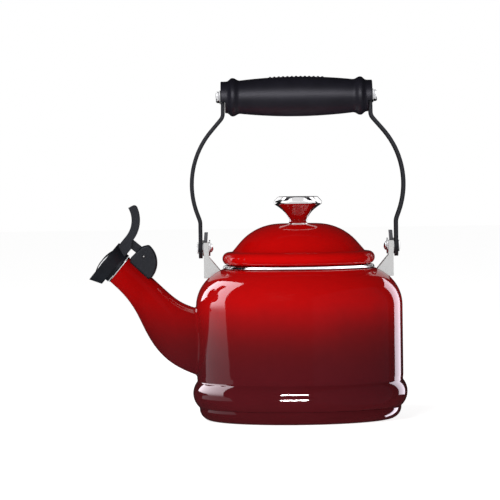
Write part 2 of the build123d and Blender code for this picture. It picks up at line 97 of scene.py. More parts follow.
def arc_through(a, b, c, step=4.0):
    """The arc from a through b to c."""
    ax, ay, bx, by, cx, cy = *a, *b, *c
    d = 2 * (ax * (by - cy) + bx * (cy - ay) + cx * (ay - by))
    aa, bb, cc = ax * ax + ay * ay, bx * bx + by * by, cx * cx + cy * cy
    centre = (
        (aa * (by - cy) + bb * (cy - ay) + cc * (ay - by)) / d,
        (aa * (cx - bx) + bb * (ax - cx) + cc * (bx - ax)) / d,
    )
    start = math.atan2(ay - centre[1], ax - centre[0])
    sweep = math.atan2(cy - centre[1], cx - centre[0]) - start
    turn = (bx - ax) * (cy - by) - (by - ay) * (cx - bx)
    if turn > 0 and sweep < 0:
        sweep += 2 * math.pi
    if turn < 0 and sweep > 0:
        sweep -= 2 * math.pi
    return arc_points(centre, a, sweep, step)


def heading(points):
    """The direction of a line of points at its end."""
    return points[-1][0] - points[-2][0], points[-1][1] - points[-2][1]


def run(start, end, count):
    """count equal steps from start to end, both included."""
    return [
        (start[0] + (end[0] - start[0]) * i / count, start[1] + (end[1] - start[1]) * i / count)
        for i in range(count + 1)
    ]


def joined(*lines):
    """The lines end to end, without repeated points."""
    points = []
    for line in lines:
        for p in line:
            if not points or math.dist(points[-1], p) > SAME_POINT:
                points.append(tuple(p))
    return points


def softened(points, radius, closed=True, above=14.0, cuts=4):
    """The line with each corner of more than `above` degrees rounded, by up to radius."""
    sharpest, share = 2.6, 0.47  # the largest angle reckoned with, and the most of a side used
    out = []
    n = len(points)
    for i, p in enumerate(points):
        if not closed and i in (0, n - 1):
            out.append(p)
            continue
        before, after = points[i - 1], points[(i + 1) % n]
        ax, ay, bx, by = p[0] - before[0], p[1] - before[1], after[0] - p[0], after[1] - p[1]
        angle = abs(math.atan2(ax * by - ay * bx, ax * bx + ay * by))
        if math.degrees(angle) < above:
            out.append(p)
            continue
        la, lb = math.hypot(ax, ay), math.hypot(bx, by)
        back = min(radius * math.tan(min(angle, sharpest) / 2), share * la, share * lb)
        a = (p[0] - ax / la * back, p[1] - ay / la * back)
        b = (p[0] + bx / lb * back, p[1] + by / lb * back)
        for k in range(cuts + 1):
            t = k / cuts
            u = 1 - t
            out.append(tuple(u * u * a[j] + 2 * t * u * p[j] + t * t * b[j] for j in (0, 1)))
    return joined(out)


def inset(points, depth):
    """The line moved to its left by depth, point for point."""
    p = np.array(points)
    d = np.gradient(p, axis=0)
    d /= np.linalg.norm(d, axis=1)[:, None]
    return [tuple(q) for q in p + depth * np.stack([-d[:, 1], d[:, 0]], axis=1)]


# ---- meshes ----
def put(name, data):
    obj = bpy.data.objects.new(name, data)
    bpy.context.scene.collection.objects.link(obj)
    return obj


def mesh_from(name, verts, faces, materials, kinds=None, sharp=38.0):
    """A closed, smooth-shaded mesh object. kinds gives each face's material slot."""
    mesh = bpy.data.meshes.new(name)
    mesh.from_pydata([tuple(float(c) for c in v) for v in verts], [], faces)
    for m in materials:
        mesh.materials.append(m)
    if kinds is not None:
        mesh.polygons.foreach_set("material_index", kinds)
    bm = bmesh.new()
    bm.from_mesh(mesh)
    bmesh.ops.remove_doubles(bm, verts=bm.verts, dist=MERGE)
    bmesh.ops.recalc_face_normals(bm, faces=bm.faces)
    bm.to_mesh(mesh)
    bm.free()
    finish_shading(mesh, sharp)
    return put(name, mesh)


def finish_shading(mesh, sharp=38.0):
    mesh.polygons.foreach_set("use_smooth", [True] * len(mesh.polygons))
    mesh.set_sharp_from_angle(angle=math.radians(sharp))
    mesh.update()


def axes(origin, along, across):
    """A frame for turned pieces: origin in millimetres, the axis, and a direction square to it."""
    w = Vector(along).normalized()
    u = Vector(across).normalized()
    return np.array(origin, float), np.array(u), np.array(w.cross(u)), np.array(w)


UPRIGHT = axes((0, 0, 0), (0, 0, 1), (1, 0, 0))


def turned(name, profile, materials, place=UPRIGHT, segments=160, kinds=None, sharp=38.0):
    """A closed profile of (radius, height) points turned about an axis. kinds has a slot per edge."""
    origin, u, v, w = place
    n = len(profile)
    angles = np.arange(segments) * 2 * math.pi / segments
    ring = np.outer(np.cos(angles), u) + np.outer(np.sin(angles), v)
    verts, first, single = [], [], []
    for r, h in profile:
        first.append(len(verts))
        single.append(r < AXIS)
        rows = [origin + w * h] if r < AXIS else list(origin + w * h + ring * r)
        verts.extend(row * MM for row in rows)
    faces, slots = [], []
    for i in range(n):
        j = (i + 1) % n
        if single[i] and single[j]:
            continue
        for k in range(segments):
            m = (k + 1) % segments
            a = [first[i]] if single[i] else [first[i] + k, first[i] + m]
            b = [first[j]] if single[j] else [first[j] + m, first[j] + k]
            faces.append(a + b)
            slots.append(kinds[i] if kinds else 0)
    return mesh_from(name, verts, faces, materials, slots, sharp)


def applied(obj):
    """Bakes the modifiers of obj into its mesh."""
    bpy.context.view_layer.update()
    shape = obj.evaluated_get(bpy.context.evaluated_depsgraph_get())
    mesh = bpy.data.meshes.new_from_object(shape)
    obj.modifiers.clear()
    obj.data = mesh
    return obj


def cut(obj, cutters):
    """Subtracts the cutters from obj and removes them."""
    for cutter in cutters:
        mod = obj.modifiers.new("cut", "BOOLEAN")
        mod.operation = "DIFFERENCE"
        mod.solver = "EXACT"
        mod.object = cutter
    applied(obj)
    for cutter in cutters:
        bpy.data.objects.remove(cutter)
    finish_shading(obj.data)
    return obj


def eased_copy(node, width, materials, segments, name):
    """A copy of a CAD node with its edges rounded by width. Its flat faces stay flat."""
    one_face, edge, smooth, most_sides = 1.0, 28.0, 34.0, 7  # degrees, then sides
    obj = put(name, nodes[node].data.copy())
    bm = bmesh.new()
    bm.from_mesh(obj.data)
    bmesh.ops.remove_doubles(bm, verts=bm.verts, dist=MERGE_CAD)
    limit = math.radians(one_face)
    bmesh.ops.dissolve_limit(bm, angle_limit=limit, verts=bm.verts, edges=bm.edges, delimit=set())
    bm.to_mesh(obj.data)
    bm.free()
    if obj.data.has_custom_normals:
        obj.data.attributes.remove(obj.data.attributes["custom_normal"])
    mod = obj.modifiers.new("edges", "BEVEL")
    mod.width = width * MM
    mod.segments = segments
    mod.limit_method = "ANGLE"
    mod.angle_limit = math.radians(edge)
    applied(obj)
    obj.data.materials.clear()
    for m in materials:
        obj.data.materials.append(m)
    finish_shading(obj.data, smooth)
    for face in obj.data.polygons:
        if len(face.vertices) > most_sides:
            face.use_smooth = False
    return obj


def place(obj, body, slot, *replaced):
    """Hangs the piece on the body it rides on and hides the CAD nodes it stands for. slot is not used."""
    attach(obj, body)
    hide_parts(*replaced)
    return obj


# ---- materials ----
def linear(r, g, b):
    """A colour given in 0-255 display values."""
    out = []
    for c in (r, g, b):
        c /= 255
        out.append(c / 12.92 if c <= 0.04045 else ((c + 0.055) / 1.055) ** 2.4)
    return (*out, 1.0)


def material(name, **sockets):
    """A new material with its shader's sockets set: an underscore stands for a space."""
    m = bpy.data.materials.new(name)
    m.use_nodes = True
    shader = m.node_tree.nodes["Principled BSDF"]
    for key, value in sockets.items():
        shader.inputs[key.replace("_", " ")].default_value = value
    return m, m.node_tree, shader


def node(tree, kind, inputs=None, **props):
    """A new node. An input is a value or another node's socket."""
    n = tree.nodes.new(kind)
    for key, value in props.items():
        setattr(n, key, value)
    for key, value in (inputs or {}).items():
        if isinstance(value, bpy.types.NodeSocket):
            tree.links.new(value, n.inputs[key])
        else:
            n.inputs[key].default_value = value
    return n


def object_coords(tree):
    return node(tree, "ShaderNodeTexCoord").outputs["Object"]


def noise_field(tree, coords, scale, detail=2.0, rough=0.5):
    inputs = {"Vector": coords, "Scale": scale, "Detail": detail, "Roughness": rough}
    return node(tree, "ShaderNodeTexNoise", inputs).outputs["Fac"]


def ramp(tree, fac, stops, interpolation="LINEAR"):
    n = node(tree, "ShaderNodeValToRGB", {"Fac": fac})
    n.color_ramp.interpolation = interpolation
    elements = n.color_ramp.elements
    while len(elements) < len(stops):
        elements.new(0.5)
    for e, (at, colour) in zip(elements, stops):
        e.position = at
        e.color = colour if len(colour) == 4 else (*colour, 1.0)
    return n.outputs["Color"]


def spread(tree, value, low, high, to_low, to_high):
    """value, mapped from one range to another and held at its ends."""
    inputs = {"Value": value, "From Min": low, "From Max": high, "To Min": to_low, "To Max": to_high}
    return node(tree, "ShaderNodeMapRange", inputs).outputs["Result"]


def bumped(tree, shader, height, distance, strength=1.0, below=None):
    inputs = {"Height": height, "Distance": distance, "Strength": strength}
    inputs |= {"Normal": below} if below else {}
    normal = node(tree, "ShaderNodeBump", inputs).outputs["Normal"]
    tree.links.new(normal, shader.inputs["Normal"])
    return normal


# The glaze from the foot up: its colour at each share of GLAZE_HIGH, which is in metres like the drift.
GLAZE_HIGH = 0.1
GLAZE_DRIFT = 0.0018  # how far the fade wanders up and down
GLAZE = [
    (0.0, linear(66, 17, 21)),
    (0.17, linear(82, 20, 26)),
    (0.28, linear(84, 20, 26)),
    (0.375, linear(85, 20, 25)),
    (0.50, linear(97, 19, 22)),
    (0.63, linear(135, 15, 18)),
    (0.76, linear(183, 12, 13)),
    (1.0, linear(202, 8, 7)),
]
# The red is darker towards the spout's mouth: metres along X, and how much of the colour is left.
DEEPER_X = (-0.125, -0.065)
DEEPER = [
    (0.0, (0.55, 0.5, 0.5)),
    (0.4, (0.56, 0.5, 0.5)),
    (0.75, (0.9, 0.9, 0.9)),
    (1.0, (1.0, 1.0, 1.0)),
]


def enamel_red():
    m, tree, shader = material("enamel_red", Roughness=0.045, IOR=1.5, Specular_IOR_Level=0.5)
    coords = object_coords(tree)
    position = node(tree, "ShaderNodeSeparateXYZ", {"Vector": coords})
    height, along = position.outputs["Z"], position.outputs["X"]
    drift = spread(tree, noise_field(tree, coords, 28, 3), 0.3, 0.7, -GLAZE_DRIFT, GLAZE_DRIFT)
    level = node(tree, "ShaderNodeMath", {0: height, 1: drift}, operation="ADD").outputs[0]
    fade = ramp(tree, spread(tree, level, 0.0, GLAZE_HIGH, 0.0, 1.0), GLAZE, "B_SPLINE")
    cloud = spread(tree, noise_field(tree, coords, 160, 4, 0.6), 0.3, 0.7, 0.965, 1.03)
    tinted = node(tree, "ShaderNodeHueSaturation", {"Color": fade, "Value": cloud}).outputs["Color"]
    depth = ramp(tree, spread(tree, along, *DEEPER_X, 0.0, 1.0), DEEPER)
    colours = {"Fac": 1.0, "Color1": tinted, "Color2": depth}
    deepened = node(tree, "ShaderNodeMixRGB", colours, blend_type="MULTIPLY").outputs[0]
    tree.links.new(deepened, shader.inputs["Base Color"])
    gloss = spread(tree, noise_field(tree, coords, 220, 2), 0.35, 0.7, 0.035, 0.06)
    tree.links.new(gloss, shader.inputs["Roughness"])
    flow = bumped(tree, shader, noise_field(tree, coords, 55, 1), 0.0002, 0.35)
    bumped(tree, shader, noise_field(tree, coords, 420, 2), 0.000012, 0.6, flow)
    return m


FLECKS = [
    (0.0, (0.012, 0.012, 0.014)),
    (0.62, (0.017, 0.017, 0.019)),
    (0.72, (0.075, 0.075, 0.08)),
    (1.0, (0.12, 0.12, 0.125)),
]


def enamel_inside():
    m, tree, shader = material("enamel_charcoal", IOR=1.5, Specular_IOR_Level=0.45)
    coords = object_coords(tree)
    fleck = noise_field(tree, coords, 1500, 2, 0.6)
    tree.links.new(ramp(tree, fleck, FLECKS), shader.inputs["Base Color"])
    tree.links.new(spread(tree, fleck, 0.3, 0.8, 0.12, 0.22), shader.inputs["Roughness"])
    bumped(tree, shader, noise_field(tree, coords, 300, 2), 0.00003, 0.5)
    return m


def two_tone(tree, shader, fac, dark, light):
    tone = node(tree, "ShaderNodeMixRGB", {"Fac": spread(tree, fac, 0.3, 0.7, 0.0, 1.0)})
    tone.inputs["Color1"].default_value = (*dark, 1.0)
    tone.inputs["Color2"].default_value = (*light, 1.0)
    tree.links.new(tone.outputs[0], shader.inputs["Base Color"])


def steel(name, colour, rough, grain, streak, scale):
    """Stainless steel. Its grain is finest along the larger parts of streak."""
    m, tree, shader = material(name, Metallic=1.0)
    coords = object_coords(tree)
    drawn = node(tree, "ShaderNodeVectorMath", {0: coords, 1: streak}, operation="MULTIPLY").outputs[0]
    lines = noise_field(tree, drawn, scale, 3, 0.65)
    two_tone(tree, shader, lines, [c * 0.9 for c in colour], colour)
    smear = noise_field(tree, coords, 180, 2)
    tree.links.new(spread(tree, smear, 0.3, 0.7, rough * 0.75, rough * 1.3), shader.inputs["Roughness"])
    bumped(tree, shader, lines, grain, 0.6)
    return m


def moulded_black(name, base, rough, grain_scale, grain_depth):
    """Moulded or powder-coated black with a fine grain and faint blotches."""
    blotch = 0.15
    m, tree, shader = material(name, IOR=1.5, Specular_IOR_Level=0.5)
    coords = object_coords(tree)
    grain = noise_field(tree, coords, grain_scale, 3, 0.6)
    wide = noise_field(tree, coords, 120, 3)
    two_tone(tree, shader, wide, [c * (1 - blotch) for c in base], [c * (1 + blotch) for c in base])
    tree.links.new(spread(tree, grain, 0.3, 0.7, rough * 0.85, rough * 1.15), shader.inputs["Roughness"])
    bumped(tree, shader, grain, grain_depth, 0.8)
    return m


ENAMEL = enamel_red()
INSIDE = enamel_inside()
POLISHED = steel("steel_polished", (0.80, 0.80, 0.82), 0.09, 0.000004, (1, 1, 6), 700)
KNOB_STEEL = steel("steel_knob", (0.82, 0.81, 0.82), 0.10, 0.000005, (0.4, 0.4, 8), 600)
BRUSHED = steel("steel_brushed", (0.72, 0.72, 0.72), 0.27, 0.00001, (8, 8, 0.6), 500)
COATED = moulded_black("black_powder_coat", (0.011, 0.012, 0.015), 0.42, 2600, 0.00002)
GRIP_BLACK = moulded_black("black_phenolic_grip", (0.0098, 0.0092, 0.0145), 0.43, 1700, 0.00006)
# Dark grey for the ears' tabs, and painted shade on their slanting edges.
TAB_GREY_AND_EDGE_SHADE = moulded_black("dark_grey_tab_and_painted_edge_shade", (0.06, 0.062, 0.07), 0.5, 1500, 0.00002)
WHISTLE_BLACK = moulded_black("black_phenolic", (0.0095, 0.0115, 0.0155), 0.45, 1500, 0.00004)


# ---- body and spout: one enamelled skin with a fillet where they join ----
SHEET = 1.5
AROUND = 240  # columns of faces round the body
HOLE_COLUMNS = 14  # half the width of the patch that joins the spout
HOLE_LOW, HOLE_HIGH, HOLE_MIDDLE = 26.3, 76.0, 50.0
WELD, WELD_INSIDE = 1.5, 0.35  # the fillet's reach on each side of the joint
WALL_R, WALL_TOP = 65.1, 71.5
SHOULDER = (59.2, 87.2)
NECK_R, NECK_TOP = 46.0, 96.6


def body_outline():
    """The shell's outer line: bead, foot, wall, shoulder, crown and neck."""
    bead = arc_through((63.8, 8.3), (67.6, 17.2), (64.8, 24.6), 7)
    foot = joined(bead[-2:], [(WALL_R, 28.0)], [(WALL_R, 32.0)])
    foot = softened(foot, 4.0, closed=False, above=2, cuts=5)
    wall = run(foot[-1], (WALL_R, WALL_TOP), 17)
    shoulder = arc_from((WALL_R, WALL_TOP), (0, 1), SHOULDER, 4)
    crown = arc_from(SHOULDER, heading(shoulder), (48.2, 94.9), 4)
    neck = softened([crown[-1], (NECK_R, 95.2), (NECK_R, NECK_TOP)], 0.5, closed=False)
    return joined(bead[:-1], foot, wall, shoulder, crown, neck)


def smooth_curve(knots, values):
    """A natural cubic spline through values at knots: a function of t."""
    t, y = np.array(knots), np.array(values, float)
    n = len(t)
    h = np.diff(t)
    a = np.zeros((n, n))
    b = np.zeros(n)
    a[0, 0] = a[-1, -1] = 1
    for i in range(1, n - 1):
        a[i, i - 1 : i + 2] = h[i - 1], 2 * (h[i - 1] + h[i]), h[i]
        b[i] = 6 * ((y[i + 1] - y[i]) / h[i] - (y[i] - y[i - 1]) / h[i - 1])
    m = np.linalg.solve(a, b)

    def at(q):
        q = np.asarray(q, float)
        i = np.clip(np.searchsorted(t, q) - 1, 0, n - 2)
        l, r = q - t[i], t[i + 1] - q
        return (
            (m[i] * r**3 + m[i + 1] * l**3) / (6 * h[i])
            + (y[i] / h[i] - m[i] * h[i] / 6) * r
            + (y[i + 1] / h[i] - m[i + 1] * h[i] / 6) * l
        )

    return at


# Spout sections, mouth to body: middle x and z, half height, width over height, slope in degrees.
SPOUT = [
    (-112.774, 95.688, 9.7, 1.0, 40.0),
    (-104.7, 88.2, 9.95, 1.0, 43.5),
    (-93.6, 75.6, 11.6, 0.97, 50.5),
    (-87.6, 67.7, 13.7, 0.90, 49.5),
    (-80.0, 59.2, 16.9, 0.80, 38.5),
    (-71.1, 53.1, 19.4, 0.73, 28.0),
    (-59.0, 48.7, 21.3, 0.68, 12.0),
]
steps = [math.dist(a[:2], b[:2]) for a, b in zip(SPOUT, SPOUT[1:])]
knots = np.concatenate([[0], np.cumsum(steps)])
SPOUT_END = knots[-1]
spout_x, spout_z, spout_half, spout_ratio, spout_slope = (
    smooth_curve(knots, [s[i] for s in SPOUT]) for i in range(5)
)


def spout_surface(t, v, skin=0.0):
    """Points of the spout's wall: t along it from the mouth, v round it, skin inside it."""
    half, slope = spout_half(t), np.radians(spout_slope(t))
    up = (half - skin) * np.sin(v)
    side = (half * spout_ratio(t) - skin) * np.cos(v)
    x, z = spout_x(t) + up * np.sin(slope), spout_z(t) + up * np.cos(slope)
    return np.stack([x, side + 0 * up, z], axis=-1)


PATCH_SHARES = (0.25, 0.5, 0.72, 0.88, 1.0)  # rings from the body's grid to the fillet
FILLET_SHARES = (0.2, 0.4, 0.6, 0.8, 1.0)
SPOUT_RINGS = 40
LOOKS_ALONG, LOOKS_ROUND = 500, 720  # samples of the spout that find its joint with the body


def body_and_spout():
    """Shell and spout as an outer and an inner skin, with a patch and a fillet at the joint."""
    outer = body_outline()
    inner = inset(outer, SHEET)
    lines = {"out": np.array(outer), "in": np.array(inner)}
    rows = len(outer)
    low = next(i for i, p in enumerate(outer) if p[1] >= HOLE_LOW)
    high = next(i for i, p in enumerate(outer) if p[1] >= HOLE_HIGH)
    centre = AROUND // 2
    verts, faces, kinds = [], [], []

    def on_body(column, row, skin):
        """A point of the body at a fractional column and row."""
        line = lines[skin]
        r = np.interp(row, np.arange(rows), line[:, 0])
        z = np.interp(row, np.arange(rows), line[:, 1])
        a = column * 2 * math.pi / AROUND
        return np.array([r * math.cos(a), r * math.sin(a), z])

    def add(points):
        first = len(verts)
        verts.extend(np.asarray(p) * MM for p in points)
        return list(range(first, len(verts)))

    def strip(a, b, kind, loop=True):
        n = len(a)
        for i in range(n if loop else n - 1):
            j = (i + 1) % n
            faces.append([a[i], a[j], b[j], b[i]])
            kinds.append(kind)

    border = (
        [(c, low) for c in range(centre - HOLE_COLUMNS, centre + HOLE_COLUMNS)]
        + [(centre + HOLE_COLUMNS, k) for k in range(low, high)]
        + [(c, high) for c in range(centre + HOLE_COLUMNS, centre - HOLE_COLUMNS, -1)]
        + [(centre - HOLE_COLUMNS, k) for k in range(high, low, -1)]
    )
    per_column = WALL_R * 2 * math.pi / AROUND

    rings = {}
    for skin, kind, depth in (("out", 0, 0.0), ("in", 1, SHEET)):
        line = lines[skin]
        grid = []
        for k in range(rows):
            grid.append(add([on_body(c, k, skin) for c in range(AROUND)]))
        for k in range(rows - 1):
            for c in range(AROUND):
                if low <= k < high and centre - HOLE_COLUMNS <= c < centre + HOLE_COLUMNS:
                    continue
                d = (c + 1) % AROUND
                faces.append([grid[k][c], grid[k][d], grid[k + 1][d], grid[k + 1][c]])
                kinds.append(kind)
        rings[skin] = grid

        # Where the spout's wall meets this skin of the body, found for every direction round the joint.
        ts = np.linspace(0, SPOUT_END, LOOKS_ALONG)
        fan = np.linspace(0, 2 * math.pi, LOOKS_ROUND + 1)[:-1]
        reach = []
        for v in fan:
            p = spout_surface(ts, v, depth)
            radius = np.interp(p[:, 2], line[:, 1], line[:, 0])
            gap = np.hypot(p[:, 0], p[:, 1]) - radius
            last = np.nonzero(gap > 0)[0][-1]
            t = ts[last] + (ts[last + 1] - ts[last]) * gap[last] / (gap[last] - gap[last + 1])
            reach.append(t)
        reach = np.array(reach)
        meet = spout_surface(reach, fan, depth)
        bearing = np.arctan2(meet[:, 1], meet[:, 0]) % (2 * math.pi) - math.pi
        flat = np.stack([bearing * WALL_R, meet[:, 2]], 1)
        round_joint = np.arctan2(flat[:, 1] - HOLE_MIDDLE, flat[:, 0])
        order = np.argsort(round_joint)
        wanted = [math.atan2(line[k][1] - HOLE_MIDDLE, (c - centre) * per_column) for c, k in border]
        swept = np.concatenate([round_joint[order] + turn * 2 * math.pi for turn in (-1, 0, 1)])

        def around(values):
            v = values[order]
            return np.interp(wanted, swept, np.concatenate([v, v, v]))

        spin = np.arctan2(around(np.sin(fan)), around(np.cos(fan)))
        stop = around(reach)
        joint = np.stack([around(flat[:, 0]), around(flat[:, 1])], 1)
        tangent = np.roll(joint, -1, 0) - np.roll(joint, 1, 0)
        tangent /= np.linalg.norm(tangent, axis=1)[:, None]
        outward = np.stack([tangent[:, 1], -tangent[:, 0]], 1)
        outward *= np.sign((outward * (joint - [0, HOLE_MIDDLE])).sum(1))[:, None]
        weld = WELD if skin == "out" else WELD_INSIDE
        far = joint + outward * weld

        def to_grid(point):
            return point[0] / per_column + centre, np.interp(point[1], line[:, 1], np.arange(rows))

        edge = [grid[k][c] for c, k in border]
        far_grid = [to_grid(p) for p in far]
        patch = [edge]
        for share in PATCH_SHARES:
            ring = []
            for (c, k), (fc, fr) in zip(border, far_grid):
                ring.append(on_body(c + (fc - c) * share, k + (fr - k) * share, skin))
            patch.append(add(ring))
        for a, b in zip(patch, patch[1:]):
            strip(a, b, kind)

        # The fillet bends from the body's skin onto the spout's.
        begin = np.array([on_body(*g, skin) for g in far_grid])
        corner = np.array([on_body(*to_grid(p), skin) for p in joint])
        back = 0.5
        moved = spout_surface(stop - back, spin, depth) - spout_surface(stop, spin, depth)
        leave = stop - weld * back / np.linalg.norm(moved, axis=1)
        end = spout_surface(leave, spin, depth)
        last = patch[-1]
        for share in FILLET_SHARES:
            ring = (1 - share) ** 2 * begin + 2 * share * (1 - share) * corner + share**2 * end
            ids = add(ring)
            strip(last, ids, kind)
            last = ids
        for i in range(1, SPOUT_RINGS + 1):
            ids = add(spout_surface(leave * (1 - i / SPOUT_RINGS), spin, depth))
            strip(last, ids, kind)
            last = ids
        rings[skin + "_mouth"] = last

    # Both skins follow the same directions, so their mouth rings pair up.
    strip(rings["out_mouth"], rings["in_mouth"], 0)
    strip(rings["out"][0], rings["in"][0], 0)
    strip(rings["out"][-1], rings["in"][-1], 0)
    return mesh_from("enamel_body_and_spout", verts, faces, [ENAMEL, INSIDE], kinds, 50)


body = body_and_spout()
place(body, "kettle", "enamel", "body_shell", "spout")


# ---- base ----
BASE_R, BASE_CORNER, BASE_FLOOR = 63.6, 7.6, 2.0
SPIGOT_R, SPIGOT_IN, SPIGOT_TOP = 61.7, 60.2, 12.0  # the ring that stands up inside the shell
SEAM_Z = 8.15
RING_IN, RING_OUT, RING_DEEP = 37.6, 41.4, 0.6  # the ring pressed into the underside


def base_profile():
    outside = joined(
        [(0.0, 0.0), (30.0, 0.0), (RING_IN, 0.0)],
        [(RING_IN + RING_DEEP, RING_DEEP), (RING_OUT - RING_DEEP, RING_DEEP), (RING_OUT, 0.0)],
        arc_from((BASE_R - BASE_CORNER, 0.0), (1, 0), (BASE_R, BASE_CORNER), 8),
        [(BASE_R, SEAM_Z)],
    )
    inside = joined(
        [(SPIGOT_R, 8.2), (SPIGOT_R, SPIGOT_TOP), (SPIGOT_IN, SPIGOT_TOP), (SPIGOT_IN, 8.1)],
        arc_from((SPIGOT_IN, 8.1), (0, -1), (55.0, BASE_FLOOR), 10),
        [(30.0, BASE_FLOOR), (0.0, BASE_FLOOR)],
    )
    return softened(outside, 0.4, closed=False), softened(inside, 0.4, closed=False)


def two_skins(name, outer, inner, segments, sharp=38.0):
    """A turned piece, red on its outer line and charcoal on its inner one."""
    kinds = [0] * len(outer) + [1] * len(inner)
    return turned(name, outer + inner, [ENAMEL, INSIDE], segments=segments, kinds=kinds, sharp=sharp)


base = two_skins("enamel_base_pan", *base_profile(), 200)
place(base, "kettle", "enamel", "base_pan")

# ---- steel rim: a band folded over the neck ----
rim = [(46.05, 95.5), (47.9, 95.5), (47.75, 96.0), (47.2, 97.2), (43.6, 97.2)]
rim += [(43.6, 93.7), (44.45, 93.7), (44.45, 96.65), (46.05, 96.65)]
rim = turned("steel_rim_band", softened(rim, 0.6), [POLISHED], segments=240)
place(rim, "kettle", "bright_steel", "rim_band")


# ---- lid ----
KNOB_LOW = 122.7  # the knob stands in a shallow dish at the top of the dome
LID_SHEET = 1.2


def lid_outline():
    dish = [(2.2, KNOB_LOW), (7.0, KNOB_LOW), (10.0, 123.3), (11.5, 123.3)]
    dish = softened(dish, 2.0, closed=False, above=5)
    dome = arc_from(dish[-1], (1, 0), (36.6, 112.0), 2.5)
    flank = run(dome[-1], (41.57, 106.22), 4)
    foot = arc_from(flank[-1], heading(flank), (43.11, 105.62), 8)
    curl = arc_through(foot[-1], (48.0, 101.6), (42.7, 97.7), 8)
    return joined(dish, dome, flank, foot, curl)


lid_top = lid_outline()
lid = two_skins("enamel_lid", lid_top, inset(lid_top, -LID_SHEET)[::-1], 220, sharp=50)
place(lid, "lid", "enamel", "lid_shell")


# ---- knob ----
def knob_profile():
    """A waist that flares to a rounded brim, and a crown that is slightly dished."""
    under = [
        *((5.95, KNOB_LOW), (5.75, 123.2), (5.8, 124.1), (5.97, 125.3), (6.27, 126.6), (6.77, 127.9)),
        *((7.5, 129.15), (8.5, 130.4), (9.75, 131.7), (11.2, 132.9), (12.9, 134.15), (14.3, 135.05)),
    ]
    t = np.concatenate([[0], np.cumsum([math.dist(a, b) for a, b in zip(under, under[1:])])])
    rx, rz = smooth_curve(t, [p[0] for p in under]), smooth_curve(t, [p[1] for p in under])
    flare = [(float(rx(q)), float(rz(q))) for q in np.linspace(0, t[-1], 44)]
    brim = arc_through((14.6, 135.3), (15.15, 136.5), (14.75, 137.75), 6)
    crown = [(12.7, 140.0), (11.9, 140.28), (8.0, 140.05), (4.0, 139.87), (0.0, 139.8)]
    outside = softened(joined(flare, brim, crown), 0.7, closed=False, above=8)
    return joined([(0.0, KNOB_LOW)], outside)


knob = turned("steel_knob", knob_profile(), [KNOB_STEEL], segments=160)
place(knob, "lid", "polished_knob", "knob")

# ---- spout lip and whistle: turned about the mouth's axis, which points down into the spout ----
TILT = math.radians(40)
INTO = Vector((math.cos(TILT), 0, -math.sin(TILT)))
UP = Vector((math.sin(TILT), 0, math.cos(TILT)))
FACE = Vector((-122.55, 0, 101.15))  # the middle of the whistle's front
LIFT = 2.1  # how far the mouth's middle is above the whistle's
mouth_axis = axes(FACE + UP * LIFT, INTO, (0, 1, 0))
whistle_axis = axes(FACE, INTO, (0, 1, 0))


def ring_profile(inner, outer, low, high, ease):
    return softened([(inner, low), (outer, low), (outer, high), (inner, high)], ease)


lip = [(7.2, 10.3), (10.05, 10.3), (10.05, 11.0), (7.8, 11.0), (7.8, 14.5), (7.2, 14.5)]
lip = turned("steel_spout_lip", softened(lip, 0.3), [POLISHED], mouth_axis, 120)
place(lip, "kettle", "bright_steel", "spout_rim")

AIR_HOLE, DISC_R, DISC_SHEET = 2.2, 10.2, 0.6
dome = arc_through((AIR_HOLE, -1.62), (5.6, -1.05), (9.6, 0.3), 3)
edge = [(DISC_R, 0.3), (DISC_R, 0.9), (9.6, 0.9)]
disc = softened(joined(dome, edge, [(r, s + DISC_SHEET) for r, s in reversed(dome)]), 0.25)
front_disc = turned("steel_whistle_front", disc, [POLISHED], whistle_axis, 120)
place(front_disc, "whistle", "bright_steel", "whistle_front_disc")
disc = ring_profile(AIR_HOLE, DISC_R, 5.4, 5.4 + DISC_SHEET, 0.2)
back_disc = turned("steel_whistle_back", disc, [POLISHED], whistle_axis, 96)
place(back_disc, "whistle", "bright_steel", "whistle_back_disc")

cap = eased_copy("whistle_cap", 0.8, [WHISTLE_BLACK], 3, "phenolic_whistle")
place(cap, "whistle", "black_phenolic", "whistle_cap")
saddle = eased_copy("hinge_saddle", 0.3, [WHISTLE_BLACK], 2, "phenolic_saddle")
place(saddle, "kettle", "black_phenolic", "hinge_saddle")

# The pin's ends taper to a small flat in each cheek.
PIN_IN, PIN_UP = 17.5, 18.3  # from the middle of the whistle's front
pin = [(0.0, -6.9), (0.4, -6.9), (1.0, -6.3), (1.0, 6.3), (0.4, 6.9), (0.0, 6.9)]
pin = softened(pin, 0.15, closed=False)
pin_axis = axes(FACE + INTO * PIN_IN + UP * PIN_UP, (0, 1, 0), (1, 0, 0))
pin = turned("steel_hinge_pin", pin, [BRUSHED], pin_axis, 48)
place(pin, "kettle", "bright_steel", "hinge_pin")


# ---- ears, pivots and bail ----
def along_x(x, z, sign):
    return axes((x, 0, z), (sign, 0, 0), (0, 1, 0))


PIVOT_Z, GRIP_Z = 108.5, 203.2
TAB_LOW = 112.1  # the ear's tab is dark grey above this height
SLANTS = 0.3  # both parts of the normal of a slanting edge are larger than this; those edges get dark grey as painted shade
STRIP_W, STRIP_T, STRIP_TOP_X, STRIP_LOW_X = 13.0, 2.4, 46.3, 61.6
STRIP_BENDS = [(46.5, 190.7, 6), (73.9, 158.9, 52), (61.6, 125.0, 8)]  # x, z, radius
STRIP_SOFT = 0.55  # the radius along the strip's edges
RIVET_BORE, SCREW_BORE = 2.55, 2.1


